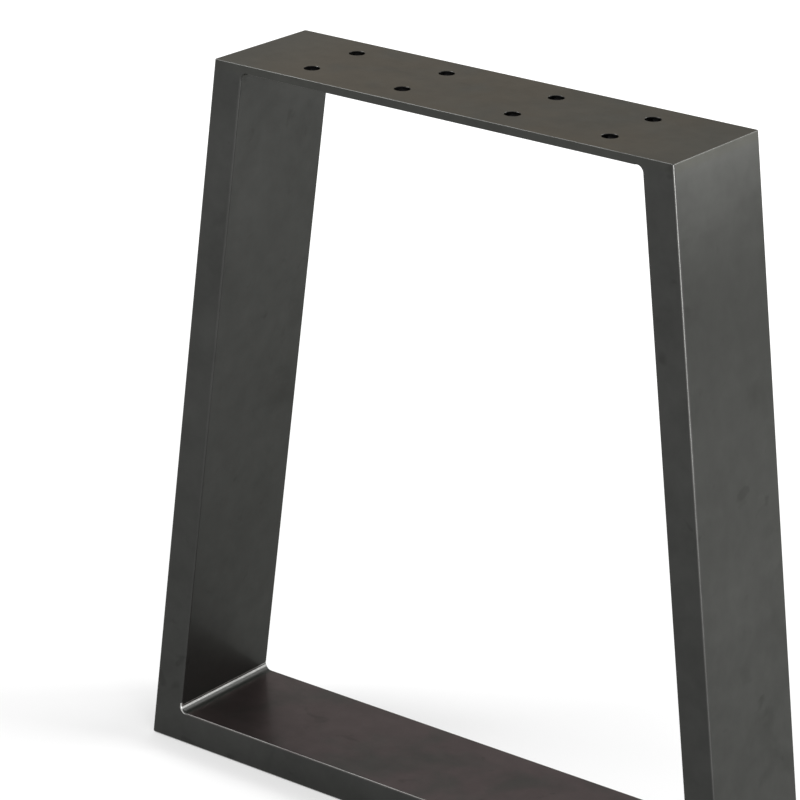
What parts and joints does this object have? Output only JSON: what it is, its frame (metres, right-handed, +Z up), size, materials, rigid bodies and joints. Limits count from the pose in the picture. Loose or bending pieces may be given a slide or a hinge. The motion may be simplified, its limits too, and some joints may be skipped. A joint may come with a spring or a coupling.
{
  "type": "trestle table leg",
  "caption": "Welded trapezoid leg of flat rectangular tube for a bench or low table, with a drilled flat bar on top and a foot rail across the bottom.",
  "frame": {"origin": "on the floor, below the middle of the frame", "axes": "+X along the width of the trapezoid, +Y through its depth, +Z up"},
  "size_m": [0.4106, 0.08, 0.43],
  "materials": {
    "steel": "satin, dark raw steel under a clear coat",
    "weld_steel": "satin, ground smooth"
  },
  "bodies": {
    "root": {"top_plate": "steel", "left_upright": "steel", "right_upright": "steel", "foot_rail": "steel", "top_left_weld": "weld_steel", "top_right_weld": "weld_steel", "foot_left_weld": "weld_steel", "foot_right_weld": "weld_steel"}
  },
  "joints": []
}
